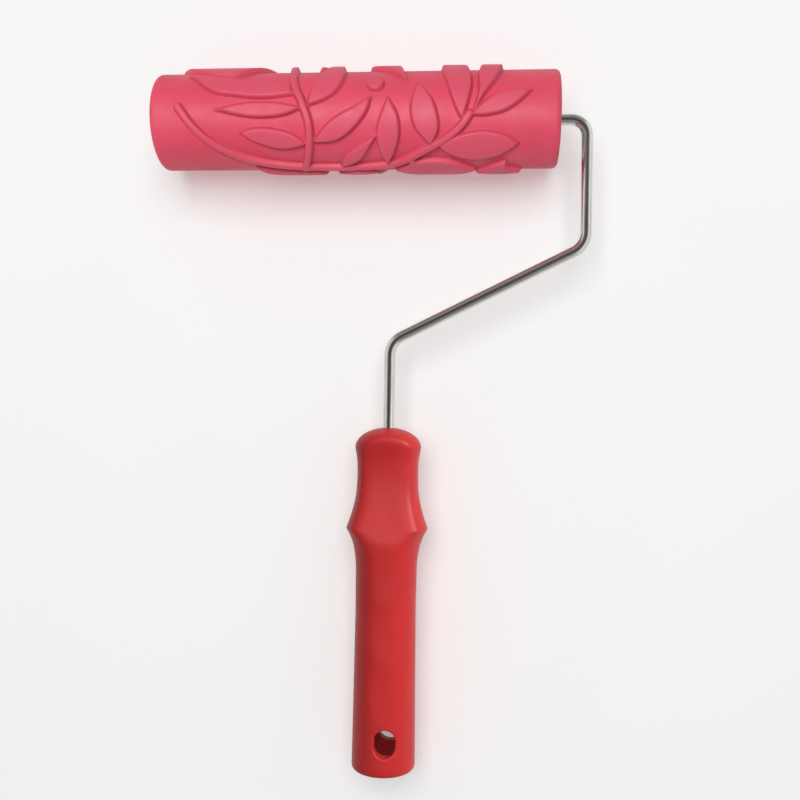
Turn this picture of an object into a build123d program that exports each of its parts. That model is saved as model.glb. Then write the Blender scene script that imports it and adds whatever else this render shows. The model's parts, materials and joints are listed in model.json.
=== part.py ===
from build123d import *
import os
from math import cos, radians, sin

# Textured pattern roller: an embossed rubber sleeve that turns on a cranked wire frame, with a moulded
# handle.
# Millimetres. X runs along the roller's axle, +Y from the handle to the roller, +Z up.
# The tool lies flat: the origin is under the middle of its box, at the height of the roller's lowest point.

OVERALL_LENGTH = 175.0

# Sleeve
SLEEVE_LENGTH = 100.0
GROUND_RADIUS = 11.8
RELIEF_HEIGHT = 1.3
SLEEVE_END_ROUNDING = 1.3
CORE_RADIUS = 8.5
CORE_WALL = 1.5
STEM_WIDTH = 1.8
BUD_RADIUS = 2.0

# Wire frame, as distances from the roller's centre
WIRE_RADIUS = 1.4
FAR_LEG_X = 57.2
FAR_LEG_LENGTH = 31.3
HANDLE_AXIS_X = 9.1
DIAGONAL_END_Y = 55.5
AXLE_BEND_RADIUS = 4.15
ARM_BEND_RADIUS = 5.5
AXLE_RECESS = 0.3
TANG_DEPTH = 34.0
TANG_FLAT_LENGTH = 9.0
TANG_FLAT_WIDTH = 4.0
TANG_FLAT_THICKNESS = 1.8

# Roller ends, as depths inward from the sleeve's end face
CAP_FLANGE_DEPTH = 1.2
CAP_WALL = 1.2
CAP_SKIRT_DEPTH = 8.2
CAP_DISH_DEPTH = 3.5
CAP_WEB_DEPTH = 5.0
CAP_RIB_COUNT = 6
CAP_RIB_THICKNESS = 1.0
HUB_FACE_DEPTH = 3.0
HUB_END_DEPTH = 10.0
HUB_RADIUS = 4.0
BUSH_RADIUS = 2.6
BUSH_END_DEPTH = 9.5
BUSH_FLANGE_RADIUS = 3.8
BUSH_FLANGE_DEPTH = 2.0
RUNNING_CLEARANCE = 0.05
WASHER_RADIUS = 3.6
WASHER_DEPTHS = (1.3, 1.8)
COLLAR_RADIUS = 2.6
COLLAR_DEPTH = 0.2
RETAINER_RADIUS = 3.2
RETAINER_DEPTH = 0.7
RETAINER_SLOT_WIDTH = 0.6
RETAINER_SLOT_REACH = 2.4

# Handle: each pair is a radius, or a distance from the middle, and a height above the handle's open end
HANDLE_LENGTH = 85.0
GRIP_PROFILE = [(7.9, 1.2), (7.65, 27.0), (7.6, 45.0), (7.9, 53.2), (8.5, 56.2), (9.8, 59.2), (12.4, 63.0)]
SHOULDER_PROFILE = [
    (13.6, 53.5), (10.2, 59.9), (8.9, 63.7), (8.0, 67.5), (7.6, 73.5), (7.8, 77.5), (8.25, 80.0),
]
DOME_MIDDLE = (5.6, 83.6)
THUMB_SCOOP_PROFILE = [
    (9.9, 51.2), (8.5, 54.9), (6.75, 60.8), (5.7, 67.5), (5.4, 73.0), (6.1, 79.0), (7.9, 84.0),
]
HANDLE_RIM_ROUNDING = 1.2
ENVELOPE_RADIUS = 16.0
CUT_MARGIN = 1.0
SOCKET_RADIUS = 5.3
SOCKET_DEPTH = 45.0
SOCKET_LEAD_IN = 0.5
HANG_HOLE_WIDTH = 5.3
HANG_HOLE_LENGTH = 6.75
HANG_HOLE_HEIGHT = 8.3
HANG_HOLE_OFFSET = 0.9
FINGER_SCALLOPS = [22.0, 35.5, 49.0]
SCALLOP_RADIUS = 50.0
SCALLOP_DEPTH = 0.35

# Embossed pattern. A point is its distance along the sleeve from the middle, and its angle round the
# sleeve in degrees: 0 is the top of the lying tool, and 90 is the side away from the handle.
MAIN_STEM = [
    (-42.4, 1), (-39, -20), (-34.9, -38), (-28, -58), (-19.6, -72), (-9.6, -78), (0.5, -78), (9.4, -72),
    (17.4, -51), (22.5, -37), (26, -24), (28.3, -10),
]
SPRIG_STEM = [
    (-12.6, -80), (-10.7, -48), (-10.3, -20), (-12, 5), (-14.2, 30), (-15, 66), (-15.4, 95), (-13.3, 120),
]
HIDDEN_STEM = [
    (40.3, 186), (34.3, 152), (26, 128), (15.8, 113), (3.6, 106), (-6.4, 109), (-13.3, 120), (-19, 139),
    (-23.7, 158), (-26.7, 172),
]
HIDDEN_SPRIG = [(11.7, 110), (11.5, 150), (13, 186), (14.9, 212), (15.3, 247), (15.1, 280), (14.3, 294)]
# A leaf is its base, the points along one edge, its tip, and the points along the other edge back to
# the base.
LEAVES = [
    [(-13, 14), (-17.6, 26), (-22.9, 34), (-30.2, 37), (-40.8, 48), (-34.6, 20), (-28.5, 13), (-21.1, 10)],
    [(-11.6, -1), (-19.4, 5), (-26.6, 4), (-33.3, -3), (-26.5, -10), (-21.4, -12), (-15.8, -9)],
    [(-10.8, -42), (-14.7, -29), (-20.4, -23), (-25, -24), (-27.4, -29), (-23, -40), (-16.9, -47)],
    [(-10.6, 0), (-9.8, 20), (-8.1, 42), (-4, 91), (-1.8, 53), (-2.8, 24), (-5.7, 9)],
    [(-9.8, -40), (-6.5, -22), (-3.5, -11), (1, 0), (4.9, 11), (3.6, -8), (0, -27), (-4.1, -38)],
    [(-3.7, -76), (-2, -58), (2, -42), (6.1, -31), (4.2, -46), (1.2, -65)],
    [(8.3, -73), (6.2, -42), (6.4, -20), (8.8, 10), (11.3, -12), (11.3, -38)],
    [(19.2, -45), (15.3, -24), (14.3, 0), (15.9, 28), (19.6, 5), (21, -23)],
    [(26.7, -17), (25.3, -7), (23.4, 18), (21.2, 68), (23.1, 102), (27.4, 67), (28.7, 29), (28.1, 6)],
    [(29.2, -6), (30.4, 17), (30.3, 51), (32.2, 115), (36, 76), (35.2, 41), (32.4, 16)],
    [(28.3, -11), (31.9, 4), (35.7, 14), (43, 17), (40.3, 4), (36.7, -7), (32, -12)],
    [(20.6, -45), (25.5, -33), (31, -28), (36.4, -32), (40.1, -43), (35.2, -58), (29.2, -63), (24.3, -57)],
    [(-20.4, 95), (-24.6, 64), (-30.3, 45), (-38.9, 56), (-45.2, 90), (-37.2, 110), (-26.9, 110)],
    [(3.8, 106), (3.4, 81), (7.1, 63), (13.2, 35), (11.4, 67), (8.6, 92)],
    [(-7.4, 110), (-10, 95), (-8.6, 72), (-5.7, 85)],
    [(-25.3, -79), (-17.9, -85), (-6.6, -90), (-9.7, -104), (-18.9, -103)],
    [(-5.6, -92), (0.5, -84), (6, -91), (0.5, -101)],
    [(9.6, -83), (14.7, -68), (19.3, -64), (24.7, -68), (30, -85), (24.6, -102), (15.6, -102)],
    [(29.5, -94), (33.5, -77), (37.1, -68), (37.9, -80), (41.3, -91), (35.4, -105)],
    [(13.5, 194), (19.3, 206), (27.3, 217), (39.3, 229), (33.3, 200), (23.3, 190)],
    [(12.7, 177), (20.3, 185), (33.3, 178), (25.3, 169), (17.3, 170)],
    [(11.8, 140), (17.3, 156), (27.3, 152), (21.1, 137)],
    [(11.9, 182), (9.9, 212), (4.5, 253), (4.7, 216), (8.3, 190)],
    [(10.8, 143), (6.3, 164), (-3.3, 190), (1.3, 156), (6.2, 143)],
    [(-8.4, 111), (-5.8, 146), (-7.7, 192), (-10.3, 160), (-10.1, 131)],
    [(-18.4, 137), (-13.7, 162), (-15.1, 210), (-19.3, 180), (-19.7, 152)],
    [(-25.3, 164), (-22.1, 204), (-23.6, 249), (-27.4, 218), (-27.1, 186)],
    [(-28.1, 174), (-30.1, 204), (-33.6, 246), (-35.2, 214), (-31.7, 186)],
    [(-27.3, 170), (-32.7, 186), (-42.1, 198), (-37.7, 172), (-31.7, 166)],
    [(-20, 137), (-27.7, 150), (-39.6, 139), (-31.7, 120), (-24.4, 123)],
]
BUDS = [(5.7, 27), (-4.7, 214)]
PATCH_SPAN = 64.0
PATCH_OVERLAP = 2.0
STEM_OVERLAP = 0.5
PAD_LEVELS = 5
PAD_STEP = 0.03

# Worked out from the values above
SLEEVE_END_X = SLEEVE_LENGTH / 2
SLEEVE_RADIUS = GROUND_RADIUS + RELIEF_HEIGHT
ROLLER_X = (SLEEVE_END_X - FAR_LEG_X - WIRE_RADIUS) / 2
ROLLER_Y = OVERALL_LENGTH / 2 - SLEEVE_RADIUS
ROLLER_Z = SLEEVE_RADIUS
HANDLE_X = ROLLER_X + HANDLE_AXIS_X
HANDLE_END_Y = -OVERALL_LENGTH / 2
HANDLE_TOP_Y = HANDLE_END_Y + HANDLE_LENGTH
CORE_INNER_RADIUS = CORE_RADIUS - CORE_WALL
SKIRT_INNER_RADIUS = CORE_INNER_RADIUS - CAP_WALL
AXLE_BORE_RADIUS = WIRE_RADIUS + RUNNING_CLEARANCE
OUTER_END = -1
INNER_END = 1


def at_roller(shape):
    return Pos(ROLLER_X, ROLLER_Y, ROLLER_Z) * shape


def at_handle(shape):
    """Stand a shape drawn along +Y from the origin on the handle's open end."""
    return Pos(HANDLE_X, HANDLE_END_Y, ROLLER_Z) * shape


def spun(axis, points):
    """Turn a closed outline about an axis."""
    return revolve(make_face(Polyline(*points, close=True)), axis)


def ring(outer_radius, inner_radius, start_x, end_x):
    """A round tube along X."""
    outline = [
        (start_x, inner_radius),
        (end_x, inner_radius),
        (end_x, outer_radius),
        (start_x, outer_radius),
    ]
    return spun(Axis.X, outline)


def end_ring(end, outer_radius, inner_radius, near_depth, far_depth):
    """A round tube at one end of the roller, between two depths inside the sleeve's end face."""
    near_x = end * (SLEEVE_END_X - near_depth)
    far_x = end * (SLEEVE_END_X - far_depth)
    return ring(outer_radius, inner_radius, min(near_x, far_x), max(near_x, far_x))


def raised_patch(outline):
    """A prism that raises a closed outline off the sleeve, drawn on the plane that touches its middle."""
    angles = [angle for distance, angle in outline]
    middle = (min(angles) + max(angles)) / 2
    flat = [(distance, SLEEVE_RADIUS * sin(radians(angle - middle))) for distance, angle in outline]
    half_span = radians((max(angles) - min(angles)) / 2)
    floor_height = (GROUND_RADIUS - RELIEF_HEIGHT) * cos(half_span)
    prism = extrude(Pos(0, 0, floor_height) * make_face(Polyline(*flat, close=True)), SLEEVE_RADIUS)
    # The drawing plane touches the top of the sleeve, so the prism is turned round the axle to its place.
    return Rot(-middle, 0, 0) * prism


def clipped_outline(outline, low_angle, high_angle):
    """The part of a closed outline between two angles."""
    for limit, keep_above in ((low_angle, True), (high_angle, False)):
        kept = []
        for start, end in zip(outline, outline[1:] + outline[:1]):
            start_in = (start[1] >= limit) == keep_above
            end_in = (end[1] >= limit) == keep_above
            if start_in:
                kept.append(start)
            if start_in != end_in:
                share = (limit - start[1]) / (end[1] - start[1])
                kept.append((start[0] + share * (end[0] - start[0]), limit))
        outline = [point for index, point in enumerate(kept) if point != kept[index - 1]]
    return outline


def leaf_patches(outline):
    """Raise a leaf, in two patches where it bends too far round the sleeve for one."""
    angles = [angle for distance, angle in outline]
    low, high = min(angles), max(angles)
    if high - low <= PATCH_SPAN:
        return [raised_patch(outline)]
    middle = (low + high) / 2
    return [
        raised_patch(clipped_outline(outline, low, middle + PATCH_OVERLAP / 2)),
        raised_patch(clipped_outline(outline, middle - PATCH_OVERLAP / 2, high)),
    ]


def stem_patches(points):
    """Raise a stem as a chain of straight bars, one between each two points, that overlap at the bends."""
    patches = []
    for (start_x, start_angle), (end_x, end_angle) in zip(points, points[1:]):
        middle = (start_angle + end_angle) / 2
        half_turn = radians((end_angle - start_angle) / 2)
        end = Vector((end_x - start_x) / 2, SLEEVE_RADIUS * sin(half_turn))
        bar = Rectangle(2 * end.length + STEM_OVERLAP, STEM_WIDTH)
        slope = Vector(1, 0).get_signed_angle(end)
        floor_height = (GROUND_RADIUS - RELIEF_HEIGHT) * cos(half_turn)
        place = Rot(-middle, 0, 0) * Pos((start_x + end_x) / 2, 0, floor_height) * Rot(0, 0, slope)
        patches.append(place * extrude(bar, SLEEVE_RADIUS))
    return patches


def bud_patch(distance, angle):
    disc = Pos(distance, 0, GROUND_RADIUS - RELIEF_HEIGHT) * Circle(BUD_RADIUS)
    return Rot(-angle, 0, 0) * extrude(disc, SLEEVE_RADIUS)


def pattern_sleeve():
    ground = ring(GROUND_RADIUS, CORE_RADIUS, -SLEEVE_END_X, SLEEVE_END_X)
    outer_edges = ground.edges().filter_by(GeomType.CIRCLE).group_by(SortBy.RADIUS)[-1]
    ground = fillet(outer_edges, SLEEVE_END_ROUNDING)
    patches = [patch for outline in LEAVES for patch in leaf_patches(outline)]
    for stem in (MAIN_STEM, SPRIG_STEM, HIDDEN_STEM, HIDDEN_SPRIG):
        patches += stem_patches(stem)
    patches += [bud_patch(distance, angle) for distance, angle in BUDS]
    # Pads that run into each other differ a hair in height, so that their tops never share one surface.
    limits = [
        Rot(0, 90, 0) * Cylinder(SLEEVE_RADIUS - number * PAD_STEP, SLEEVE_LENGTH)
        for number in range(PAD_LEVELS)
    ]
    pads = [patch & limits[number % PAD_LEVELS] for number, patch in enumerate(patches)]
    return at_roller(ground.fuse(*[solid for pad in pads for solid in pad.solids()]))


def core_tube():
    end_x = SLEEVE_END_X - CAP_FLANGE_DEPTH
    return at_roller(ring(CORE_RADIUS, CORE_INNER_RADIUS, -end_x, end_x))


def end_cap(end):
    """A dished plug: flange on the core tube, skirt inside it, and a hub on a web with ribs behind it."""
    outline = [
        (0, CORE_RADIUS),
        (CAP_FLANGE_DEPTH, CORE_RADIUS),
        (CAP_FLANGE_DEPTH, CORE_INNER_RADIUS),
        (CAP_SKIRT_DEPTH, CORE_INNER_RADIUS),
        (CAP_SKIRT_DEPTH, SKIRT_INNER_RADIUS),
        (CAP_WEB_DEPTH, SKIRT_INNER_RADIUS),
        (CAP_WEB_DEPTH, HUB_RADIUS),
        (HUB_END_DEPTH, HUB_RADIUS),
        (HUB_END_DEPTH, BUSH_RADIUS),
        (HUB_FACE_DEPTH, BUSH_RADIUS),
        (HUB_FACE_DEPTH, HUB_RADIUS),
        (CAP_DISH_DEPTH, HUB_RADIUS),
        (CAP_DISH_DEPTH, SKIRT_INNER_RADIUS),
        (0, SKIRT_INNER_RADIUS),
    ]
    cap = spun(Axis.X, [(end * (SLEEVE_END_X - depth), radius) for depth, radius in outline])
    rib_length = CAP_SKIRT_DEPTH - CAP_WEB_DEPTH
    rib_x = end * (SLEEVE_END_X - CAP_WEB_DEPTH - rib_length / 2)
    rib_space = ring(SKIRT_INNER_RADIUS, HUB_RADIUS, rib_x - rib_length / 2, rib_x + rib_length / 2)
    spoke = Pos(rib_x, 0, CORE_RADIUS / 2) * Box(rib_length, CAP_RIB_THICKNESS, CORE_RADIUS)
    for number in range(CAP_RIB_COUNT):
        cap += rib_space & (Rot(360 * number / CAP_RIB_COUNT, 0, 0) * spoke)
    return at_roller(cap)


def bush(end):
    """A flanged sleeve bearing pressed into the end cap's hub."""
    flange = end_ring(end, BUSH_FLANGE_RADIUS, AXLE_BORE_RADIUS, BUSH_FLANGE_DEPTH, HUB_FACE_DEPTH)
    barrel = end_ring(end, BUSH_RADIUS, AXLE_BORE_RADIUS, HUB_FACE_DEPTH, BUSH_END_DEPTH)
    return at_roller(flange + barrel)


def thrust_washer(end):
    return at_roller(end_ring(end, WASHER_RADIUS, AXLE_BORE_RADIUS, *WASHER_DEPTHS))


def stop_collar():
    """The ring crimped on the axle that stops the roller short of the first bend."""
    return at_roller(end_ring(INNER_END, COLLAR_RADIUS, WIRE_RADIUS, COLLAR_DEPTH, WASHER_DEPTHS[0]))


def push_on_retainer():
    """The star washer pushed on the axle's free end."""
    washer = end_ring(OUTER_END, RETAINER_RADIUS, WIRE_RADIUS, RETAINER_DEPTH, WASHER_DEPTHS[0])
    slot_x = OUTER_END * (SLEEVE_END_X - RETAINER_DEPTH)
    slot_thickness = 2 * (WASHER_DEPTHS[0] - RETAINER_DEPTH) + CUT_MARGIN
    slot = Box(slot_thickness, RETAINER_SLOT_WIDTH, RETAINER_SLOT_REACH)
    slot = Pos(slot_x, 0, RETAINER_SLOT_REACH / 2) * slot
    for number in range(3):
        washer -= Rot(120 * number, 0, 0) * slot
    return at_roller(washer)


def wire_frame():
    """One bent wire: the axle, the far leg, the slanting arm, and the tang pressed into the handle."""
    tang_end_y = HANDLE_TOP_Y - ROLLER_Y - TANG_DEPTH
    path = FilletPolyline(
        (AXLE_RECESS - SLEEVE_END_X, 0),
        (FAR_LEG_X, 0),
        (FAR_LEG_X, -FAR_LEG_LENGTH),
        (HANDLE_AXIS_X, -DIAGONAL_END_Y),
        (HANDLE_AXIS_X, tang_end_y),
        radius=[AXLE_BEND_RADIUS, ARM_BEND_RADIUS, ARM_BEND_RADIUS],
    )
    section = Plane(origin=path @ 0, z_dir=path % 0) * Circle(WIRE_RADIUS)
    wire = sweep(section, path)
    flat_y = tang_end_y + TANG_FLAT_LENGTH / 2 + WIRE_RADIUS
    flat = Pos(HANDLE_AXIS_X, flat_y, 0) * Box(TANG_FLAT_WIDTH, TANG_FLAT_LENGTH, TANG_FLAT_THICKNESS)
    return at_roller(wire + flat)


def grip_body():
    """Below the collar: the round grip, flaring out at its top past the collar's edge."""
    rim_start = (GRIP_PROFILE[0][0] - HANDLE_RIM_ROUNDING, 0)
    past_top = HANDLE_LENGTH + CUT_MARGIN
    outline = (
        Polyline((ENVELOPE_RADIUS, past_top), (0, past_top), (0, 0), rim_start)
        + RadiusArc(rim_start, GRIP_PROFILE[0], -HANDLE_RIM_ROUNDING)
        + Spline(*GRIP_PROFILE, tangents=[(0, 1), (1, 1)])
        + Polyline(GRIP_PROFILE[-1], (ENVELOPE_RADIUS, GRIP_PROFILE[-1][1]), (ENVELOPE_RADIUS, past_top))
    )
    return revolve(make_face(outline), Axis.Y)


def shoulder_body():
    """Above the collar: the waisted neck and domed top."""
    shoulder = SHOULDER_PROFILE[-1]
    top = (0, HANDLE_LENGTH)
    outline = (
        Polyline(
            top,
            (0, -CUT_MARGIN),
            (ENVELOPE_RADIUS, -CUT_MARGIN),
            (ENVELOPE_RADIUS, SHOULDER_PROFILE[0][1]),
            SHOULDER_PROFILE[0],
        )
        + Spline(*SHOULDER_PROFILE, tangents=[(-1, 1.2), (0, 1)])
        + Spline(shoulder, DOME_MIDDLE, top, tangents=[(0, 1), (-1, 0)])
    )
    return revolve(make_face(outline), Axis.Y)


def thumb_scoop(side):
    """The hollow across the front or back of the neck, from under the dome down to the collar's edge."""
    low, high = THUMB_SCOOP_PROFILE[0], THUMB_SCOOP_PROFILE[-1]
    outline = Spline(*THUMB_SCOOP_PROFILE) + Polyline(
        high, (ENVELOPE_RADIUS, high[1]), (ENVELOPE_RADIUS, low[1]), low
    )
    # The outline is drawn with its first direction along +X, so it is turned to point along the side's Z.
    return Rot(0, -90 * side, 0) * extrude(make_face(outline), ENVELOPE_RADIUS, both=True)


def hang_hole():
    hole = Rot(0, 0, 90) * SlotOverall(HANG_HOLE_LENGTH, HANG_HOLE_WIDTH)
    return Pos(HANG_HOLE_OFFSET, HANG_HOLE_HEIGHT, 0) * extrude(hole, ENVELOPE_RADIUS, both=True)


def pole_socket():
    """The round hollow in the open end, with a chamfered mouth."""
    mouth_radius = SOCKET_RADIUS + SOCKET_LEAD_IN
    outline = [
        (0, -CUT_MARGIN),
        (mouth_radius, -CUT_MARGIN),
        (mouth_radius, 0),
        (SOCKET_RADIUS, SOCKET_LEAD_IN),
        (SOCKET_RADIUS, SOCKET_DEPTH),
        (0, SOCKET_DEPTH),
    ]
    return spun(Axis.Y, outline)


def handle_grip(wire):
    """A moulded handle: solid round the wire's tang, and hollow from its open end."""
    body = grip_body() & shoulder_body()
    grip_radius = GRIP_PROFILE[1][0]
    scallop = Rot(0, 90, 0) * Cylinder(SCALLOP_RADIUS, 2 * ENVELOPE_RADIUS)
    for side in (-1, 1):
        body -= thumb_scoop(side)
        for height in FINGER_SCALLOPS:
            body -= Pos(0, height, side * (grip_radius + SCALLOP_RADIUS - SCALLOP_DEPTH)) * scallop
    body -= pole_socket()
    body -= hang_hole()
    return at_handle(body) - wire


def main():
    os.makedirs("parts", exist_ok=True)
    wire = wire_frame()
    nodes = {
        "pattern_sleeve": pattern_sleeve(),
        "core_tube": core_tube(),
        "outer_end_cap": end_cap(OUTER_END),
        "inner_end_cap": end_cap(INNER_END),
        "outer_bush": bush(OUTER_END),
        "inner_bush": bush(INNER_END),
        "outer_thrust_washer": thrust_washer(OUTER_END),
        "inner_thrust_washer": thrust_washer(INNER_END),
        "push_on_retainer": push_on_retainer(),
        "stop_collar": stop_collar(),
        "wire_frame": wire,
        "handle_grip": handle_grip(wire),
    }
    for name, shape in nodes.items():
        export_step(shape, f"parts/{name}.step")


main()
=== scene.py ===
import json
import math

import bmesh
import bpy
import numpy as np
from mathutils import Euler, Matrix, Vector


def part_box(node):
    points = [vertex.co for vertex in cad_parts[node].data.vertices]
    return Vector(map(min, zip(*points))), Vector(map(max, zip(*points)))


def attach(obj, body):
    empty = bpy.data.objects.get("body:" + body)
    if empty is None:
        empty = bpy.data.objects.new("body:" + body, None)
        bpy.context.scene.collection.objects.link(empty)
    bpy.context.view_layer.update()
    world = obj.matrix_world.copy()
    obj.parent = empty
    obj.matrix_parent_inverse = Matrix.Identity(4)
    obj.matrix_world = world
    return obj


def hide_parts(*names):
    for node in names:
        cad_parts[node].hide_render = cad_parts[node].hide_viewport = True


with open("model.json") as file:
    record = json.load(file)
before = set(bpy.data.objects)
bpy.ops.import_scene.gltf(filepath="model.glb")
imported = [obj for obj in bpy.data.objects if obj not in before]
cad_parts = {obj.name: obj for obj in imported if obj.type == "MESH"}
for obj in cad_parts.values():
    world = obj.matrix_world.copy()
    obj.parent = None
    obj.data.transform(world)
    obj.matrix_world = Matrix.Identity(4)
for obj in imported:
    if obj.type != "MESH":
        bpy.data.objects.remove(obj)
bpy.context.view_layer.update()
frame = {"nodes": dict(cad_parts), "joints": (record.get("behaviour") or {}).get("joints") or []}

# Lengths below are millimetres, and are turned into metres where an object is made.
MM = 0.001

# Sleeve
SLEEVE_HALF_LENGTH = 50.0
GROUND_RADIUS = 11.8
RELIEF_HEIGHT = 1.3
END_ROUNDING = 1.3
END_ROUNDING_RINGS = 5
BORE_RADIUS = 8.5
BORE_LEAD_IN = 0.25
STEM_HALF_WIDTH = 0.95
BUD_RADIUS = 2.0
# The relief's wall starts this far outside the pattern's edge, and reaches its top this far inside it.
RELIEF_FOOT = 0.16
RELIEF_SHOULDER = 0.34
# Painted shade: the dark band painted at the foot of each relief wall is about this wide.
FOOT_SHADE_WIDTH = 0.16
# The grid's points near the pattern's edge are drawn towards it, by this share and within this reach.
EDGE_CROWDING = 0.58
EDGE_REACH = 0.5
LEAST_SLOPE = 0.3
PATTERN_REACH = 3.0
SLEEVE_COLUMNS = 276
SLEEVE_ROWS = 340
CURVE_STEPS = 8
# An outline that turns by more degrees than this at a point has a corner there.
CORNER_TURN = 62.0
ARC_PER_DEGREE = math.radians(GROUND_RADIUS + RELIEF_HEIGHT / 2)

# Wire, whose far leg and arm are distances from the axle
WIRE_RADIUS = 1.4
WIRE_SIDES = 40
WIRE_CHAMFER = 0.3
FAR_LEG_LENGTH = 31.3
ARM_END = 55.5
AXLE_BEND_RADIUS = 4.15
ARM_BEND_RADIUS = 5.5
STRAIGHT_STEP = 1.5
BEND_STEP_DEGREES = 3
TANG_STEPS = 29

# Handle, whose profiles give a radius, or a distance from the middle, and a height above the open end
GRIP_PROFILE = [
    (7.9, 1.2), (7.65, 27.0), (7.6, 45.0), (7.9, 53.2), (8.5, 56.2), (9.8, 59.2), (12.4, 63.0),
]
GRIP_RADIUS = GRIP_PROFILE[1][0]
SHOULDER_PROFILE = [
    (13.6, 53.5), (10.2, 59.9), (8.9, 63.7), (8.0, 67.5), (7.6, 73.5), (7.8, 77.5), (8.25, 80.0),
]
SCOOP_PROFILE = [
    (9.9, 51.2), (8.5, 54.9), (6.75, 60.8), (5.7, 67.5), (5.4, 73.0), (6.1, 79.0), (7.9, 84.0),
]
HANDLE_LENGTH = 85.0
DOME_RADIUS, DOME_START = SHOULDER_PROFILE[-1]
DOME_RINGS = 34
RIM_RADIUS, RIM_ROUNDING = GRIP_PROFILE[0]
RIM_RINGS = 7
SOCKET_RADIUS = 5.3
SOCKET_DEPTH = 45.0
SOCKET_LEAD_IN = 0.5
SOCKET_RIM = 0.45
SOCKET_RINGS = 46
SOCKET_FLOOR_RADII = (1.5, 4.0)
WIRE_HOLE_RADIUS = WIRE_RADIUS + 0.06
WIRE_HOLE_ROUNDING = 0.3
WIRE_HOLE_LEAD_IN = 0.35
WIRE_HOLE_DEPTH = 4.0
HOLE_HALF_WIDTH = 2.65
HOLE_HALF_LENGTH = 3.375
HOLE_HEIGHT = 8.3
HOLE_OFFSET = 0.9
HOLE_ROUNDING = 0.45
HOLE_ARC_STEPS = 24
HOLE_CUT_REACH = 12.0
SCALLOPS = [22.0, 35.5, 49.0]
SCALLOP_RADIUS = 50.0
SCALLOP_DEPTH = 0.35
HANDLE_COLUMNS = 200
# Heights at which the spacing of the handle's rings changes, each with the rings from there up
HANDLE_SPANS = [(RIM_ROUNDING, 10), (4.2, 56), (12.4, 120), (56.0, 40), (62.0, 52), (DOME_START, 0)]
# The handle's columns stand closer together towards its front and back.
FRONT_CROWDING = 0.35
SCOOP_SOFTNESS = 1.8
SCALLOP_SOFTNESS = 0.5
COLLAR_SOFTNESS = 0.25
FAR_OUT = 99.0
LEAST_ACROSS = 1e-3

# Edges that turn by more degrees than this are drawn sharp
HANDLE_SHARP_ANGLE = 50
WIRE_SHARP_ANGLE = 30
BEVEL_SHARP_ANGLE = 40
BEVEL_WIDTH = 0.1
WELD_DISTANCE = 0.001

# The sleeve's pattern. A point is its distance along the sleeve from the middle, and its angle round the
# sleeve in degrees: 0 is the top of the lying tool, and 90 is the side away from the handle.
STEMS = [
    [(-42.4, 1), (-39, -20), (-34.9, -38), (-28, -58), (-19.6, -72), (-9.6, -78), (0.5, -78),
     (9.4, -72), (17.4, -51), (22.5, -37), (26, -24), (28.3, -10)],
    [(-12.6, -80), (-10.7, -48), (-10.3, -20), (-12, 5), (-14.2, 30), (-15, 66), (-15.4, 95),
     (-13.3, 120)],
    [(40.3, 186), (34.3, 152), (26, 128), (15.8, 113), (3.6, 106), (-6.4, 109), (-13.3, 120),
     (-19, 139), (-23.7, 158), (-26.7, 172)],
    [(11.7, 110), (11.5, 150), (13, 186), (14.9, 212), (15.3, 247), (15.1, 280), (14.3, 294)],
]
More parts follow.
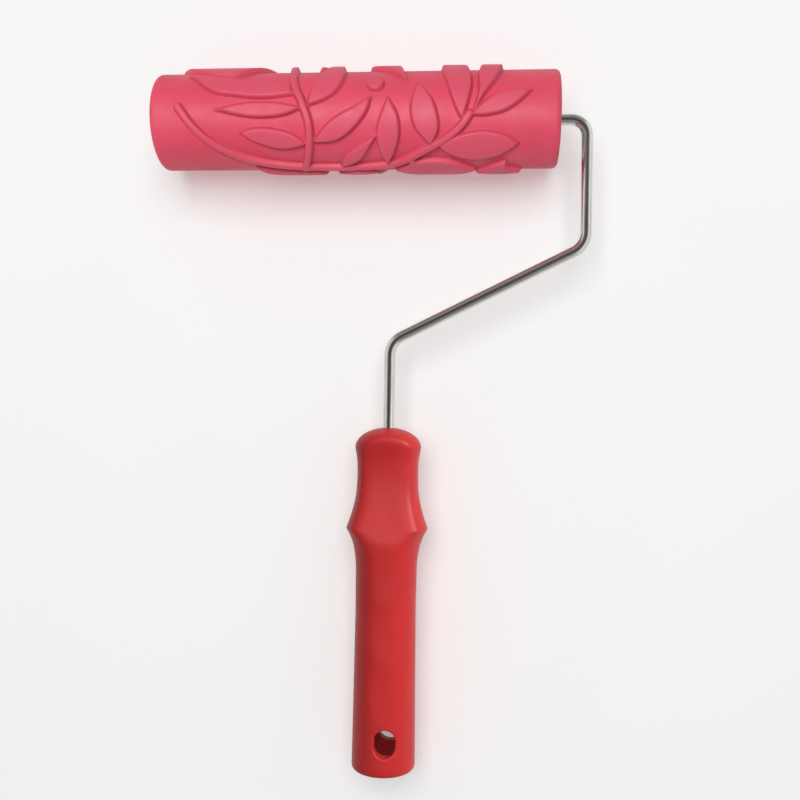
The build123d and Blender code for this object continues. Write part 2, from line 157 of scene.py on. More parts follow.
# A leaf is a closed outline, which has corners at its base and tip and is smooth between them.
LEAVES = [
    [(-13, 14), (-17.6, 26), (-22.9, 34), (-30.2, 37), (-40.8, 48), (-34.6, 20), (-28.5, 13), (-21.1, 10)],
    [(-11.6, -1), (-19.4, 5), (-26.6, 4), (-33.3, -3), (-26.5, -10), (-21.4, -12), (-15.8, -9)],
    [(-10.8, -42), (-14.7, -29), (-20.4, -23), (-25, -24), (-27.4, -29), (-23, -40), (-16.9, -47)],
    [(-10.6, 0), (-9.8, 20), (-8.1, 42), (-4, 91), (-1.8, 53), (-2.8, 24), (-5.7, 9)],
    [(-9.8, -40), (-6.5, -22), (-3.5, -11), (1, 0), (4.9, 11), (3.6, -8), (0, -27), (-4.1, -38)],
    [(-3.7, -76), (-2, -58), (2, -42), (6.1, -31), (4.2, -46), (1.2, -65)],
    [(8.3, -73), (6.2, -42), (6.4, -20), (8.8, 10), (11.3, -12), (11.3, -38)],
    [(19.2, -45), (15.3, -24), (14.3, 0), (15.9, 28), (19.6, 5), (21, -23)],
    [(26.7, -17), (25.3, -7), (23.4, 18), (21.2, 68), (23.1, 102), (27.4, 67), (28.7, 29), (28.1, 6)],
    [(29.2, -6), (30.4, 17), (30.3, 51), (32.2, 115), (36, 76), (35.2, 41), (32.4, 16)],
    [(28.3, -11), (31.9, 4), (35.7, 14), (43, 17), (40.3, 4), (36.7, -7), (32, -12)],
    [(20.6, -45), (25.5, -33), (31, -28), (36.4, -32), (40.1, -43), (35.2, -58), (29.2, -63), (24.3, -57)],
    [(-20.4, 95), (-24.6, 64), (-30.3, 45), (-38.9, 56), (-45.2, 90), (-37.2, 110), (-26.9, 110)],
    [(3.8, 106), (3.4, 81), (7.1, 63), (13.2, 35), (11.4, 67), (8.6, 92)],
    [(-7.4, 110), (-10, 95), (-8.6, 72), (-5.7, 85)],
    [(-25.3, -79), (-17.9, -85), (-6.6, -90), (-9.7, -104), (-18.9, -103)],
    [(-5.6, -92), (0.5, -84), (6, -91), (0.5, -101)],
    [(9.6, -83), (14.7, -68), (19.3, -64), (24.7, -68), (30, -85), (24.6, -102), (15.6, -102)],
    [(29.5, -94), (33.5, -77), (37.1, -68), (37.9, -80), (41.3, -91), (35.4, -105)],
    [(13.5, 194), (19.3, 206), (27.3, 217), (39.3, 229), (33.3, 200), (23.3, 190)],
    [(12.7, 177), (20.3, 185), (33.3, 178), (25.3, 169), (17.3, 170)],
    [(11.8, 140), (17.3, 156), (27.3, 152), (21.1, 137)],
    [(11.9, 182), (9.9, 212), (4.5, 253), (4.7, 216), (8.3, 190)],
    [(10.8, 143), (6.3, 164), (-3.3, 190), (1.3, 156), (6.2, 143)],
    [(-8.4, 111), (-5.8, 146), (-7.7, 192), (-10.3, 160), (-10.1, 131)],
    [(-18.4, 137), (-13.7, 162), (-15.1, 210), (-19.3, 180), (-19.7, 152)],
    [(-25.3, 164), (-22.1, 204), (-23.6, 249), (-27.4, 218), (-27.1, 186)],
    [(-28.1, 174), (-30.1, 200), (-33.1, 236), (-35.1, 210), (-31.7, 186)],
    [(-27.3, 170), (-32.7, 186), (-42.1, 198), (-37.7, 172), (-31.7, 166)],
    [(-20, 137), (-27.7, 150), (-39.6, 139), (-31.7, 120), (-24.4, 123)],
]
BUDS = [(5.7, 27), (-4.7, 214)]

ROLLER = np.array(frame["joints"][0]["pos_m"]) / MM
handle_low, handle_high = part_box("handle_grip")
HANDLE_X = (handle_low.x + handle_high.x) / 2 / MM
HANDLE_END_Y = handle_low.y / MM
AXIS_Z = ROLLER[2]
wire_low, wire_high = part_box("wire_frame")

# Finishes, in linear red, green and blue
PINK = (0.66, 0.058, 0.106)
PINK_LIGHT = (0.71, 0.070, 0.128)
PINK_CLOUD = (0.66, 0.050, 0.086)
PINK_RAISED = (0.66, 0.088, 0.145)
# Painted shade at the foot of the relief's walls, where shade falls
PINK_FOOT_SHADE = (0.40, 0.018, 0.04)
PINK_GRAIN = (0.55, 0.06, 0.10)
RED = (0.350, 0.0145, 0.0145)
RED_LIGHT = (0.400, 0.018, 0.018)
RED_STREAK = (0.33, 0.014, 0.015)
RED_GRAIN = (0.48, 0.045, 0.045)
PLATING_DARK = (0.60, 0.59, 0.56)
PLATING_LIGHT = (0.74, 0.74, 0.73)
PLATING_DULL = (0.52, 0.50, 0.44)
PLATING_SPECK = (0.30, 0.27, 0.22)
ZINC_DARK = (0.50, 0.51, 0.52)
ZINC_LIGHT = (0.66, 0.67, 0.66)
ZINC_SCRATCH = (0.36, 0.35, 0.33)
PAPER_DARK = (0.93, 0.93, 0.93)
PAPER_LIGHT = (0.95, 0.95, 0.95)
PAPER_GLOW = 0.24
DUST_SHADE = 0.75
# Most of a noise's values lie between these.
NOISE_LOW, NOISE_HIGH = 0.3, 0.7

# Studio
FLOOR_HALF_WIDTH = 1600.0
# The room's colour in directions from the horizon, 0, to straight up, 1
ROOM_LEVELS = [
    (0.0, (0.95, 0.95, 0.95)),
    (0.55, (0.90, 0.90, 0.90)),
    (0.86, (0.62, 0.61, 0.60)),
    (0.97, (0.20, 0.19, 0.17)),
]
ROOM_STRENGTH = 0.38
CAMERA_PLACE = (27.3, 3.2, 243.0)
CAMERA_TURN_DEGREES = (0.384, 4.902, 0.934)
CAMERA_LENS = 41.46
CAMERA_SENSOR_WIDTH = 36.0
CAMERA_CLIP = (0.01, 20.0)


# ---------------------------------------------------------------- meshes


def make_piece(name, points, faces, body, node, material):
    """A smooth mesh piece, from points in millimetres, that stands for a CAD node."""
    mesh = bpy.data.meshes.new(name)
    mesh.from_pydata((np.asarray(points) * MM).tolist(), [], faces)
    mesh.validate()
    mesh.shade_smooth()
    piece = bpy.data.objects.new(name, mesh)
    bpy.context.scene.collection.objects.link(piece)
    piece.data.materials.append(material)
    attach(piece, body)
    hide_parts(node)
    return piece


def grid_faces(rows, columns):
    """Quads over a grid of points whose columns close into a ring."""
    faces = []
    for row in range(rows - 1):
        for column in range(columns):
            beside = (column + 1) % columns
            start = row * columns
            faces.append((start + column, start + beside, start + columns + beside, start + columns + column))
    return faces


def set_attribute(piece, name, values):
    layer = piece.data.attributes.new(name, "FLOAT", "POINT")
    layer.data.foreach_set("value", np.asarray(values, np.float32))


def smooth_run(points):
    """A Catmull-Rom curve through points, without its last point."""
    points = np.asarray(points, float)
    padded = np.vstack([2 * points[0] - points[1], points, 2 * points[-1] - points[-2]])
    run = []
    for index in range(len(points) - 1):
        before, start, end, after = padded[index : index + 4]
        for share in np.arange(CURVE_STEPS) / CURVE_STEPS:
            run.append(
                0.5
                * (
                    2 * start
                    + (end - before) * share
                    + (2 * before - 5 * start + 4 * end - after) * share**2
                    + (3 * start - before - 3 * end + after) * share**3
                )
            )
    return np.array(run)


def smooth_outline(points):
    """A closed outline, rounded except where it turns sharply."""
    points = np.asarray(points, float)
    arriving = points - np.roll(points, 1, axis=0)
    leaving = np.roll(points, -1, axis=0) - points
    turns = np.degrees(
        np.arctan2(leaving[:, 1], leaving[:, 0]) - np.arctan2(arriving[:, 1], arriving[:, 0])
    )
    turns = np.abs((turns + 180) % 360 - 180)
    corners = [index for index, turn in enumerate(turns) if turn > CORNER_TURN] or [0]
    pieces = []
    for corner, following in zip(corners, corners[1:] + [corners[0] + len(points)]):
        pieces.append(smooth_run([points[index % len(points)] for index in range(corner, following + 1)]))
    return np.vstack(pieces)


def distance_to_line(along, around, line):
    """How far each point is from a line, which is a point itself if it has only one."""
    if len(line) == 1:
        return np.hypot(along - line[0, 0], around - line[0, 1])
    nearest = np.full(along.shape, np.inf)
    for (start_x, start_y), (end_x, end_y) in zip(line[:-1], line[1:]):
        step_x, step_y = end_x - start_x, end_y - start_y
        square = step_x**2 + step_y**2
        share = np.clip(((along - start_x) * step_x + (around - start_y) * step_y) / square, 0, 1)
        nearest = np.minimum(
            nearest, np.hypot(along - start_x - share * step_x, around - start_y - share * step_y)
        )
    return nearest


def is_inside(along, around, outline):
    inside = np.zeros(along.shape, bool)
    for (start_x, start_y), (end_x, end_y) in zip(outline, np.roll(outline, -1, axis=0)):
        if start_y != end_y:
            crossing_x = start_x + (around - start_y) * (end_x - start_x) / (end_y - start_y)
            inside ^= ((start_y > around) != (end_y > around)) & (along < crossing_x)
    return inside


def pattern_distance(lengths, columns):
    """How far each point of the sleeve's grid is outside the pattern's edge, and less than 0 inside it."""
    pitch = 360 / columns * ARC_PER_DEGREE
    field = np.full((len(lengths), columns), PATTERN_REACH)

    def lower(line, distance_inside):
        low, high = line.min(axis=0) - PATTERN_REACH, line.max(axis=0) + PATTERN_REACH
        rows = np.nonzero((lengths >= low[0]) & (lengths <= high[0]))[0]
        steps = np.arange(math.floor(low[1] / pitch), math.ceil(high[1] / pitch) + 1)
        along, around = np.meshgrid(lengths[rows], steps * pitch, indexing="ij")
        window = np.ix_(rows, steps % columns)
        field[window] = np.minimum(field[window], distance_inside(along, around, line))

    def leaf_distance(along, around, outline):
        edge = distance_to_line(along, around, np.vstack([outline, outline[:1]]))
        return np.where(is_inside(along, around, outline), -edge, edge)

    def stem_distance(along, around, line):
        return distance_to_line(along, around, line) - STEM_HALF_WIDTH

    def bud_distance(along, around, middle):
        return distance_to_line(along, around, middle) - BUD_RADIUS

    scale = np.array([1, ARC_PER_DEGREE])
    for leaf in LEAVES:
        lower(smooth_outline(np.array(leaf) * scale), leaf_distance)
    for stem in STEMS:
        stem = np.array(stem) * scale
        lower(np.vstack([smooth_run(stem), stem[-1:]]), stem_distance)
    for bud in BUDS:
        lower(np.array([bud]) * scale, bud_distance)
    return field


def crowd_edges(outside, lengths, columns):
    """Moves the grid's points towards the pattern's edges, and gives their shifts and new distances."""
    pitch = 360 / columns * ARC_PER_DEGREE
    wrapped = np.hstack([outside[:, -1:], outside, outside[:, :1]])
    slope_along, slope_around = np.gradient(wrapped, lengths, np.arange(columns + 2) * pitch)
    slope_along, slope_around = slope_along[:, 1:-1], slope_around[:, 1:-1]
    size = np.maximum(np.hypot(slope_along, slope_around), LEAST_SLOPE)
    pull = outside * EDGE_CROWDING * np.exp(-((outside / EDGE_REACH) ** 2))
    return -pull * slope_along / size, -pull * slope_around / size, outside - pull


def make_sleeve(material):
    """The rubber sleeve with its relief, and how high each point is and how much painted shade it gets near a
    wall's foot.
    """
    columns = SLEEVE_COLUMNS
    turn = np.radians(np.arange(columns) * 360 / columns)
    straight = SLEEVE_HALF_LENGTH - END_ROUNDING
    lengths = np.linspace(-straight, straight, SLEEVE_ROWS)
    outside = pattern_distance(lengths, columns)
    shift_along, shift_around, outside = crowd_edges(outside, lengths, columns)
    rise = np.clip((RELIEF_FOOT - outside) / (RELIEF_FOOT + RELIEF_SHOULDER), 0, 1)
    rise = rise * rise * (3 - 2 * rise)
    # Painted shade, strongest at the foot of each relief wall, where shade falls.
    painted_foot_shade = np.exp(-(((outside - RELIEF_FOOT) / FOOT_SHADE_WIDTH) ** 2))

    turns = turn + np.radians(shift_around / ARC_PER_DEGREE)
    rings = [
        (length + row_shift, row_turn, GROUND_RADIUS + RELIEF_HEIGHT * row)
        for length, row_shift, row_turn, row in zip(lengths, shift_along, turns, rise)
    ]

    def level_ring(length, radius):
        return np.full(columns, length), turn, np.full(columns, radius)

    end = []
    for number in range(1, END_ROUNDING_RINGS + 1):
        angle = math.pi / 2 * number / END_ROUNDING_RINGS
        length = straight + END_ROUNDING * math.sin(angle)
        end.append(level_ring(length, GROUND_RADIUS - END_ROUNDING * (1 - math.cos(angle))))
    end.append(level_ring(SLEEVE_HALF_LENGTH, BORE_RADIUS + BORE_LEAD_IN))
    end.append(level_ring(SLEEVE_HALF_LENGTH - BORE_LEAD_IN, BORE_RADIUS))
    rings = [(-length, turns, radius) for length, turns, radius in reversed(end)] + rings + end
    points = [
        np.stack(
            [
                ROLLER[0] + length,
                ROLLER[1] + radius * np.sin(turns),
                ROLLER[2] + radius * np.cos(turns),
            ],
            axis=1,
        )
        for length, turns, radius in rings
    ]
    faces = grid_faces(len(rings), columns)
    last = (len(rings) - 1) * columns
    # The bore is one long ring of faces, hidden by the core tube.
    for column in range(columns):
        beside = (column + 1) % columns
        faces.append((last + column, last + beside, beside, column))
    faces = [tuple(reversed(face)) for face in faces]
    piece = make_piece(
        "embossed_sleeve", np.vstack(points), faces, "roller", "pattern_sleeve", material
    )
    plain = np.zeros((len(end), columns))
    set_attribute(piece, "rise", np.vstack([plain, rise, plain]).ravel())
    set_attribute(piece, "painted_foot_shade", np.vstack([plain, painted_foot_shade, plain]).ravel())
    return piece


def profile_radius(profile, height):
    """A smooth curve through a profile's (radius, height) points, far out beyond its ends."""
    radii = np.array([radius for radius, at in profile])
    heights = np.array([at for radius, at in profile])
    if height < heights[0] or height > heights[-1]:
        return FAR_OUT
    slopes = np.gradient(radii, heights)
    index = min(int(np.searchsorted(heights, height, side="right")) - 1, len(heights) - 2)
    span = heights[index + 1] - heights[index]
    share = (height - heights[index]) / span
    return (
        (1 + 2 * share) * (1 - share) ** 2 * radii[index]
        + share * (1 - share) ** 2 * span * slopes[index]
        + share**2 * (3 - 2 * share) * radii[index + 1]
        + share**2 * (share - 1) * span * slopes[index + 1]
    )


def soft_min(first, second, softness):
    """The smaller of two radii, with the edge between them rounded."""
    blend = np.clip(0.5 + 0.5 * (second - first) / softness, 0, 1)
    return second * (1 - blend) + first * blend - softness * blend * (1 - blend)


def handle_radius(height, outer, turn):
    """The handle's radius in each direction at one height, cut by the hollows front and back."""
    across = np.maximum(np.abs(np.cos(turn)), LEAST_ACROSS)
    radius = np.full(turn.shape, outer)
    radius = soft_min(radius, profile_radius(SCOOP_PROFILE, height) / across, SCOOP_SOFTNESS)
    for middle in SCALLOPS:
        reach = min(abs(height - middle), SCALLOP_RADIUS)
        dip = GRIP_RADIUS - SCALLOP_DEPTH + SCALLOP_RADIUS - math.sqrt(SCALLOP_RADIUS**2 - reach**2)
        radius = soft_min(radius, dip / across, SCALLOP_SOFTNESS)
    side = radius * np.sin(turn) - HOLE_OFFSET
    lengthwise = max(abs(height - HOLE_HEIGHT) - (HOLE_HALF_LENGTH - HOLE_HALF_WIDTH), 0)
    outside = np.clip(np.hypot(side, lengthwise) - HOLE_HALF_WIDTH, 0, HOLE_ROUNDING)
    drop = HOLE_ROUNDING - np.sqrt(HOLE_ROUNDING**2 - (HOLE_ROUNDING - outside) ** 2)
    return radius - drop


def handle_rings(turn):
    """The rings of the handle's surface, from the socket's floor, out and up, to the hole for the wire."""
    full = np.ones(turn.shape)
    mouth = SOCKET_RADIUS + SOCKET_LEAD_IN
    rings = [(SOCKET_DEPTH, full * radius) for radius in SOCKET_FLOOR_RADII]
    for height in np.linspace(SOCKET_DEPTH, SOCKET_LEAD_IN, SOCKET_RINGS):
        rings.append((height, full * SOCKET_RADIUS))
    rings += [(0.0, full * mouth), (0.0, full * (mouth + SOCKET_RIM))]
    for angle in np.radians(np.linspace(0, 90, RIM_RINGS, endpoint=False)):
        height = RIM_ROUNDING * (1 - math.cos(angle))
        rings.append((height, full * (RIM_RADIUS - RIM_ROUNDING * (1 - math.sin(angle)))))
    for (low, count), (high, _) in zip(HANDLE_SPANS[:-1], HANDLE_SPANS[1:]):
        for height in np.linspace(low, high, count, endpoint=False):
            grip = profile_radius(GRIP_PROFILE, height)
            shoulder = profile_radius(SHOULDER_PROFILE, height)
            rings.append((height, handle_radius(height, soft_min(grip, shoulder, COLLAR_SOFTNESS), turn)))
    last_angle = math.acos((WIRE_HOLE_RADIUS + WIRE_HOLE_ROUNDING) / DOME_RADIUS)
    for angle in np.linspace(0, last_angle, DOME_RINGS):
        height = DOME_START + (HANDLE_LENGTH - DOME_START) * math.sin(angle)
        rings.append((height, handle_radius(height, DOME_RADIUS * math.cos(angle), turn)))
    for depth in (WIRE_HOLE_LEAD_IN, WIRE_HOLE_DEPTH):
        rings.append((HANDLE_LENGTH - depth, full * WIRE_HOLE_RADIUS))
    return rings


def cut_hang_hole(piece):
    """Cuts the obround hole through both walls of the handle."""
    middle_x = HANDLE_X + HOLE_OFFSET
    middle_y = HANDLE_END_Y + HOLE_HEIGHT
    straight = HOLE_HALF_LENGTH - HOLE_HALF_WIDTH
    outline = []
    for side in (1, -1):
        for number in range(HOLE_ARC_STEPS + 1):
            angle = math.pi * number / HOLE_ARC_STEPS
            x = middle_x + side * HOLE_HALF_WIDTH * math.cos(angle)
            outline.append((x, middle_y + side * (straight + HOLE_HALF_WIDTH * math.sin(angle))))
    cutter = bmesh.new()
    rings = []
    for level in (AXIS_Z - HOLE_CUT_REACH, AXIS_Z + HOLE_CUT_REACH):
        rings.append([cutter.verts.new((x * MM, y * MM, level * MM)) for x, y in outline])
    cutter.faces.new(rings[0])
    cutter.faces.new(list(reversed(rings[1])))
    for index in range(len(outline)):
        beside = (index + 1) % len(outline)
        cutter.faces.new((rings[0][index], rings[1][index], rings[1][beside], rings[0][beside]))
    bmesh.ops.recalc_face_normals(cutter, faces=cutter.faces)
    mesh = bpy.data.meshes.new("hole_cutter")
    cutter.to_mesh(mesh)
    cutter.free()
    tool = bpy.data.objects.new("hole_cutter", mesh)
    bpy.context.scene.collection.objects.link(tool)
    cut = piece.modifiers.new("hang hole", "BOOLEAN")
    cut.operation = "DIFFERENCE"
    cut.solver = "EXACT"
    cut.object = tool
    graph = bpy.context.evaluated_depsgraph_get()
    result = bpy.data.meshes.new_from_object(piece.evaluated_get(graph))
    piece.modifiers.clear()
    piece.data = result
    bpy.data.objects.remove(tool)


def face_outwards(piece):
    shell = bmesh.new()
    shell.from_mesh(piece.data)
    bmesh.ops.recalc_face_normals(shell, faces=shell.faces)
    shell.to_mesh(piece.data)
    shell.free()


def make_handle(material):
    """The handle as one closed skin, which runs from its socket over its outside to the wire's hole."""
    columns = HANDLE_COLUMNS
    even = np.arange(columns) * 2 * math.pi / columns
    turn = even - FRONT_CROWDING * np.sin(2 * even)
    points = [
        np.stack(
            [
                HANDLE_X + radius * np.sin(turn),
                np.full(columns, HANDLE_END_Y + height),
                AXIS_Z + radius * np.cos(turn),
            ],
            axis=1,
        )
        for height, radius in handle_rings(turn)
    ]
    faces = grid_faces(len(points), columns)
    last = (len(points) - 1) * columns
    faces.append(tuple(reversed(range(columns))))
    faces.append(tuple(range(last, last + columns)))
    piece = make_piece(
        "moulded_handle", np.vstack(points), faces, "frame", "handle_grip", material
    )
    face_outwards(piece)
    cut_hang_hole(piece)
    mark_sharp(piece, HANDLE_SHARP_ANGLE)
    return piece


def mark_sharp(piece, degrees):
    """Shades smooth, except across edges that turn by more than an angle."""
    shell = bmesh.new()
    shell.from_mesh(piece.data)
    for face in shell.faces:
        face.smooth = True
    for edge in shell.edges:
        edge.smooth = edge.calc_face_angle(0) < math.radians(degrees)
    shell.to_mesh(piece.data)
    shell.free()


def bent_path(corners, radii):
    """Points along straight runs joined by round bends."""
    corners = [np.array(corner) for corner in corners]
    path = [corners[0]]
    for before, corner, after, radius in zip(corners, corners[1:], corners[2:], radii):
        arriving = (corner - before) / np.linalg.norm(corner - before)
        leaving = (after - corner) / np.linalg.norm(after - corner)
        bend = math.acos(float(np.clip(arriving @ leaving, -1, 1)))
        turns_left = np.sign(arriving[0] * leaving[1] - arriving[1] * leaving[0])
        side = np.array([-arriving[1], arriving[0]]) * turns_left
        first = path[-1]
        start = corner - arriving * radius * math.tan(bend / 2)
        steps = max(int(np.linalg.norm(start - first) / STRAIGHT_STEP), 1)
        for share in np.arange(1, steps) / steps:
            path.append(first + (start - first) * share)
        for angle in np.linspace(0, bend, max(int(math.degrees(bend) / BEND_STEP_DEGREES), 2)):
            along, aside = math.sin(angle), 1 - math.cos(angle)
            path.append(start + radius * (arriving * along + side * aside))
    first, last = path[-1], corners[-1]
    for share in np.linspace(0, 1, TANG_STEPS + 1)[1:]:
        path.append(first + (last - first) * share)
    return np.array(path)


def make_wire(material):
    """The bent wire, and how far along it and which way round it each point is."""
    far_x = wire_high.x / MM - WIRE_RADIUS
    axle_y = wire_high.y / MM - WIRE_RADIUS
    path = bent_path(
        [
            (wire_low.x / MM, axle_y),
            (far_x, axle_y),
            (far_x, axle_y - FAR_LEG_LENGTH),
            (HANDLE_X, axle_y - ARM_END),
            (HANDLE_X, wire_low.y / MM),
        ],
        [AXLE_BEND_RADIUS, ARM_BEND_RADIUS, ARM_BEND_RADIUS],
    )
    along = np.concatenate([[0], np.cumsum(np.linalg.norm(np.diff(path, axis=0), axis=1))])
    heading = np.gradient(path, along, axis=0)
    heading /= np.linalg.norm(heading, axis=1)[:, None]
    end_radius = WIRE_RADIUS - WIRE_CHAMFER
    rings = [(path[0], heading[0], end_radius, 0.0)]
    rings.append((path[0] + heading[0] * WIRE_CHAMFER, heading[0], WIRE_RADIUS, WIRE_CHAMFER))
    for at, way, length in zip(path[1:-1], heading[1:-1], along[1:-1]):
        rings.append((at, way, WIRE_RADIUS, length))
    rings.append((path[-1], heading[-1], end_radius, along[-1]))
    turn = np.arange(WIRE_SIDES) * 2 * math.pi / WIRE_SIDES
    points, lengths = [], []
    for at, way, radius, length in rings:
        side = np.array([-way[1], way[0]])
        points.append(
            np.stack(
                [
                    at[0] + side[0] * radius * np.cos(turn),
                    at[1] + side[1] * radius * np.cos(turn),
                    AXIS_Z + radius * np.sin(turn),
                ],
                axis=1,
            )
        )
        lengths.append(np.full(WIRE_SIDES, length))
    faces = grid_faces(len(rings), WIRE_SIDES)
    last = (len(rings) - 1) * WIRE_SIDES
    faces.append(tuple(reversed(range(WIRE_SIDES))))
    faces.append(tuple(range(last, last + WIRE_SIDES)))
    piece = make_piece("bent_wire", np.vstack(points), faces, "frame", "wire_frame", material)
    face_outwards(piece)
    mark_sharp(piece, WIRE_SHARP_ANGLE)
    set_attribute(piece, "along", np.concatenate(lengths))
    set_attribute(piece, "around_cos", np.tile(np.cos(turn), len(rings)))
    set_attribute(piece, "around_sin", np.tile(np.sin(turn), len(rings)))
    return piece


# ---------------------------------------------------------------- materials


class Shader:
    """A material, and short ways to add the nodes that its detail is made of."""

    def __init__(self, name, **constants):
        self.material = bpy.data.materials.new(name)
        self.material.use_nodes = True
        self.tree = self.material.node_tree
        self.surface = self.tree.nodes["Principled BSDF"]
        for socket, value in constants.items():
            self.surface.inputs[socket.replace("_", " ")].default_value = value
        self.place = self.add("ShaderNodeTexCoord").outputs["Object"]

    def add(self, kind, **settings):
        node = self.tree.nodes.new(kind)
        for name, value in settings.items():
            setattr(node, name, value)
        return node

    def fill(self, socket, value):
        if isinstance(value, bpy.types.NodeSocket):
            self.tree.links.new(value, socket)
        else:
            socket.default_value = value

    def noise(self, size, detail=3.0, roughness=0.5, stretch=(1, 1, 1), place=None):
        """Noise from 0 to 1, whose features are about size millimetres across."""
        mapping = self.add("ShaderNodeMapping")
        self.fill(mapping.inputs["Vector"], place or self.place)
        unit = 1 if place else 1 / MM
        mapping.inputs["Scale"].default_value = [unit / size / factor for factor in stretch]
        node = self.add("ShaderNodeTexNoise")
        self.fill(node.inputs["Vector"], mapping.outputs["Vector"])
        node.inputs["Scale"].default_value = 1.0
        node.inputs["Detail"].default_value = detail
        node.inputs["Roughness"].default_value = roughness
        return node.outputs["Fac"]

    def attribute(self, name):
        return self.add("ShaderNodeAttribute", attribute_name=name).outputs["Fac"]

    def maths(self, operation, first, second):
        node = self.add("ShaderNodeMath", operation=operation)
        self.fill(node.inputs[0], first)
        self.fill(node.inputs[1], second)
        return node.outputs[0]

    def span(self, value, low, high, new_low=0.0, new_high=1.0):
        node = self.add("ShaderNodeMapRange")
        self.fill(node.inputs["Value"], value)
        ends = {"From Min": low, "From Max": high, "To Min": new_low, "To Max": new_high}
        for socket, number in ends.items():
            node.inputs[socket].default_value = number
        return node.outputs["Result"]

    def spread(self, noise, new_low=0.0, new_high=1.0):
        """Spreads the values that a noise mostly has over a new range."""
        return self.span(noise, NOISE_LOW, NOISE_HIGH, new_low, new_high)

    def mix(self, share, first, second):
        node = self.add("ShaderNodeMix", data_type="RGBA")
        # A mix node has sockets for each kind of value: 0 is the share, 6 and 7 are its colours.
        self.fill(node.inputs[0], share)
        self.fill(node.inputs[6], (*first, 1) if isinstance(first, tuple) else first)
        self.fill(node.inputs[7], (*second, 1) if isinstance(second, tuple) else second)
        return node.outputs[2]

    def colour(self, value):
        self.fill(self.surface.inputs["Base Color"], value)

    def rough(self, value):
        self.fill(self.surface.inputs["Roughness"], value)

    def bump(self, *layers):
        """Bumps, each a height from 0 to 1 and the millimetres that it stands for."""
        normal = None
        for height, depth in layers:
            node = self.add("ShaderNodeBump")
            node.inputs["Strength"].default_value = 1.0
            node.inputs["Distance"].default_value = depth * MM
            self.fill(node.inputs["Height"], height)
            if normal is not None:
                self.fill(node.inputs["Normal"], normal)
            normal = node.outputs["Normal"]
        self.fill(self.surface.inputs["Normal"], normal)


def rubber_material():
    shader = Shader("sleeve_rubber_pink", Specular_IOR_Level=0.4)
    broad = shader.noise(17.0, detail=2.0)
    cloudy = shader.noise(5.0, detail=4.0, roughness=0.6)
    grain = shader.noise(0.45, roughness=0.6)
    colour = shader.mix(shader.span(broad, 0.35, 0.65), PINK, PINK_LIGHT)
    colour = shader.mix(shader.spread(cloudy, 0.0, 0.35), colour, PINK_CLOUD)
    colour = shader.mix(shader.maths("MULTIPLY", shader.attribute("rise"), 0.5), colour, PINK_RAISED)
    # Painted shade: darker at the foot of the relief's walls.
    colour = shader.mix(shader.maths("MULTIPLY", shader.attribute("painted_foot_shade"), 0.6), colour, PINK_FOOT_SHADE)
    colour = shader.mix(shader.spread(grain, 0.0, 0.10), colour, PINK_GRAIN)
    shader.colour(colour)
    shader.rough(shader.spread(cloudy, 0.46, 0.60))
    shader.bump((cloudy, 0.05), (grain, 0.018))
    return shader.material


def handle_material():
    shader = Shader("handle_plastic_red", Specular_IOR_Level=0.2)
    broad = shader.noise(22.0, detail=2.0)
    cloudy = shader.noise(4.0, detail=4.0, roughness=0.6)
    grain = shader.noise(0.35, roughness=0.65)
    streaks = shader.noise(1.2, roughness=0.6, stretch=(1, 14, 1))
    colour = shader.mix(shader.span(broad, 0.35, 0.65), RED, RED_LIGHT)
    colour = shader.mix(shader.spread(streaks, 0.0, 0.25), colour, RED_STREAK)
    colour = shader.mix(shader.spread(grain, 0.0, 0.10), colour, RED_GRAIN)
    shader.colour(colour)
    shader.rough(shader.spread(cloudy, 0.34, 0.48))
    shader.bump((cloudy, 0.04), (grain, 0.010))
    return shader.material


def wire_material():
    """Bright plating, with the lines of the drawn wire along it."""
    shader = Shader("plated_wire_bright", Metallic=1.0)
    joined = shader.add("ShaderNodeCombineXYZ")
    for socket, name in zip(joined.inputs, ("along", "around_cos", "around_sin")):
        shader.fill(socket, shader.attribute(name))
    drawn = joined.outputs[0]
    streaks = shader.noise(0.35, roughness=0.6, stretch=(90, 1, 1), place=drawn)
    patches = shader.noise(5.0, roughness=0.6, stretch=(1, 0.3, 0.3), place=drawn)
    specks = shader.noise(0.5, roughness=0.6, stretch=(1, 0.4, 0.4), place=drawn)
    colour = shader.mix(shader.span(streaks, 0.35, 0.65), PLATING_DARK, PLATING_LIGHT)
    colour = shader.mix(shader.span(patches, 0.45, 0.75, 0.0, 0.35), colour, PLATING_DULL)
    colour = shader.mix(shader.span(specks, 0.66, 0.74, 0.0, 0.5), colour, PLATING_SPECK)
    shader.colour(colour)
    shader.rough(shader.spread(patches, 0.14, 0.26))
    shader.bump((streaks, 0.008), (patches, 0.03), (specks, 0.004))
    return shader.material


def plain_plastic(name, tint, shade, low_rough, high_rough):
    shader = Shader(name, Specular_IOR_Level=0.45)
    cloudy = shader.noise(3.0, detail=4.0, roughness=0.6)
    grain = shader.noise(0.3, roughness=0.6)
    dust = shader.noise(1.1, detail=4.0, roughness=0.7)
    dusty = tuple(DUST_SHADE * part for part in shade)
    colour = shader.mix(shader.spread(cloudy), shade, tint)
    colour = shader.mix(shader.span(dust, 0.58, 0.72, 0.0, 0.3), colour, dusty)
    shader.colour(colour)
    shader.rough(shader.spread(cloudy, low_rough, high_rough))
    shader.bump((cloudy, 0.03), (grain, 0.008))
    return shader.material


def washer_material():
    shader = Shader("washer_zinc", Metallic=1.0)
    cloudy = shader.noise(1.6, detail=4.0, roughness=0.6)
    scratches = shader.noise(0.25, roughness=0.6, stretch=(1, 1, 8))
    colour = shader.mix(shader.spread(cloudy), ZINC_DARK, ZINC_LIGHT)
    colour = shader.mix(shader.span(scratches, 0.6, 0.7, 0.0, 0.4), colour, ZINC_SCRATCH)
    shader.colour(colour)
    shader.rough(shader.spread(cloudy, 0.24, 0.40))
    shader.bump((cloudy, 0.01), (scratches, 0.006))
    return shader.material


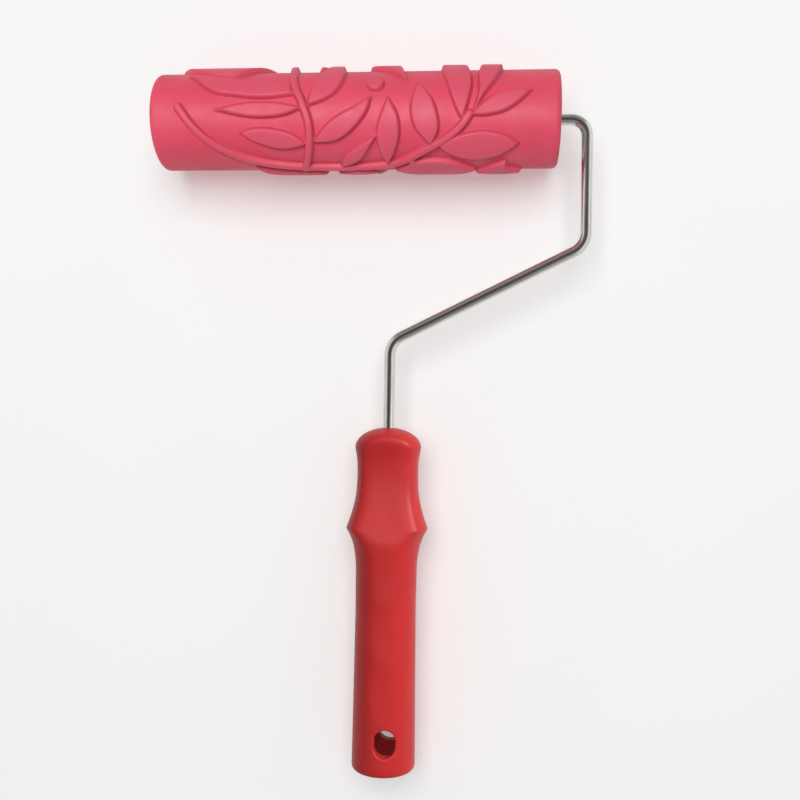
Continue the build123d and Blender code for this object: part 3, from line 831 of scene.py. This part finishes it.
def floor_material():
    shader = Shader(
        "floor_paper", Specular_IOR_Level=0.1, Emission_Color=(1, 1, 1, 1), Emission_Strength=PAPER_GLOW
    )
    cloudy = shader.noise(60.0)
    grain = shader.noise(0.8)
    shader.colour(shader.mix(shader.spread(cloudy), PAPER_DARK, PAPER_LIGHT))
    shader.rough(shader.spread(grain, 0.85, 0.95))
    shader.bump((grain, 0.02))
    return shader.material


# ---------------------------------------------------------------- studio


def make_floor(material):
    """A pale sheet that the tool rests on, touching the roller and the handle's open end."""
    slope = (AXIS_Z - RIM_RADIUS) / (ROLLER[1] - HANDLE_END_Y - RIM_ROUNDING)
    half = FLOOR_HALF_WIDTH
    points = []
    for x, y in ((-half, -half), (half, -half), (half, half), (-half, half)):
        points.append((x * MM, y * MM, (ROLLER[1] - y) * slope * MM))
    mesh = bpy.data.meshes.new("floor")
    mesh.from_pydata(points, [], [(0, 1, 2, 3)])
    floor = bpy.data.objects.new("floor", mesh)
    bpy.context.scene.collection.objects.link(floor)
    floor.data.materials.append(material)


def add_softbox(name, at, aim, size, power, pieces, state="INCLUDE"):
    """A soft light aimed at a place, which is kept to some pieces or flagged off them."""
    light = bpy.data.lights.new(name, "AREA")
    light.shape = "RECTANGLE"
    light.size = size[0] * MM
    light.size_y = size[1] * MM
    light.energy = power
    lamp = bpy.data.objects.new(name, light)
    bpy.context.scene.collection.objects.link(lamp)
    lamp.location = Vector(at) * MM
    lamp.rotation_euler = ((Vector(at) - Vector(aim)) * MM).to_track_quat("Z", "Y").to_euler()
    chosen = bpy.data.collections.new(name)
    for piece in pieces:
        chosen.objects.link(piece)
    for member in chosen.collection_objects:
        member.light_linking.link_state = state
    lamp.light_linking.receiver_collection = chosen


def set_world():
    """A bright room with a dimmer ceiling, which the plated wire mirrors."""
    world = bpy.data.worlds.new("studio")
    bpy.context.scene.world = world
    world.use_nodes = True
    tree = world.node_tree
    place = tree.nodes.new("ShaderNodeTexCoord")
    parts = tree.nodes.new("ShaderNodeSeparateXYZ")
    ramp = tree.nodes.new("ShaderNodeValToRGB")
    tree.links.new(place.outputs["Generated"], parts.inputs[0])
    tree.links.new(parts.outputs["Z"], ramp.inputs["Fac"])
    tree.links.new(ramp.outputs["Color"], tree.nodes["Background"].inputs["Color"])
    stops = ramp.color_ramp.elements
    while len(stops) < len(ROOM_LEVELS):
        stops.new(0.5)
    for stop, (position, colour) in zip(stops, ROOM_LEVELS):
        stop.position = position
        stop.color = (*colour, 1)
    tree.nodes["Background"].inputs["Strength"].default_value = ROOM_STRENGTH


def make_camera():
    data = bpy.data.cameras.new("camera")
    data.lens = CAMERA_LENS
    data.sensor_width = CAMERA_SENSOR_WIDTH
    data.clip_start, data.clip_end = CAMERA_CLIP
    camera = bpy.data.objects.new("camera", data)
    bpy.context.scene.collection.objects.link(camera)
    camera.location = Vector(CAMERA_PLACE) * MM
    camera.rotation_euler = Euler([math.radians(angle) for angle in CAMERA_TURN_DEGREES])
    bpy.context.scene.camera = camera


def paint_node(name, material):
    """Gives a CAD node a finish, and takes the sharpness off its edges."""
    node = frame["nodes"][name]
    node.data.materials.clear()
    node.data.materials.append(material)
    weld = node.modifiers.new("weld", "WELD")
    weld.merge_threshold = WELD_DISTANCE * MM
    bevel = node.modifiers.new("edge", "BEVEL")
    bevel.width = BEVEL_WIDTH * MM
    bevel.segments = 2
    bevel.limit_method = "ANGLE"
    bevel.angle_limit = math.radians(BEVEL_SHARP_ANGLE)


sleeve = make_sleeve(rubber_material())
handle = make_handle(handle_material())
wire = make_wire(wire_material())
cap_plastic = plain_plastic("cap_plastic_white", (0.78, 0.77, 0.73), (0.66, 0.65, 0.61), 0.40, 0.55)
nylon = plain_plastic("bush_nylon_natural", (0.80, 0.78, 0.70), (0.70, 0.68, 0.60), 0.30, 0.42)
core = plain_plastic("core_plastic_grey", (0.62, 0.62, 0.60), (0.52, 0.52, 0.50), 0.45, 0.60)
zinc = washer_material()
for node_name, finish in (
    ("core_tube", core),
    ("outer_end_cap", cap_plastic),
    ("inner_end_cap", cap_plastic),
    ("outer_bush", nylon),
    ("inner_bush", nylon),
    ("outer_thrust_washer", zinc),
    ("inner_thrust_washer", zinc),
    ("push_on_retainer", zinc),
    ("stop_collar", zinc),
):
    paint_node(node_name, finish)

make_floor(floor_material())
set_world()
add_softbox("top_softbox", (0, 260, 820), (0, 10, 10), (700, 700), 4.2, [wire, sleeve], "EXCLUDE")
add_softbox("sleeve_softbox", (-75, 90, 600), (-4, 74, 13), (200, 450), 3.3, [sleeve])
add_softbox("handle_softbox", (330, 160, 300), (5, -45, 13), (140, 260), 2.4, [handle])
add_softbox("right_strip", (420, 40, 210), (25, 40, 13), (900, 340), 0.68, [wire])
add_softbox("left_strip", (-400, 0, 230), (25, 20, 13), (900, 340), 0.55, [wire])
make_camera()
bpy.context.scene.view_settings.view_transform = "Standard"
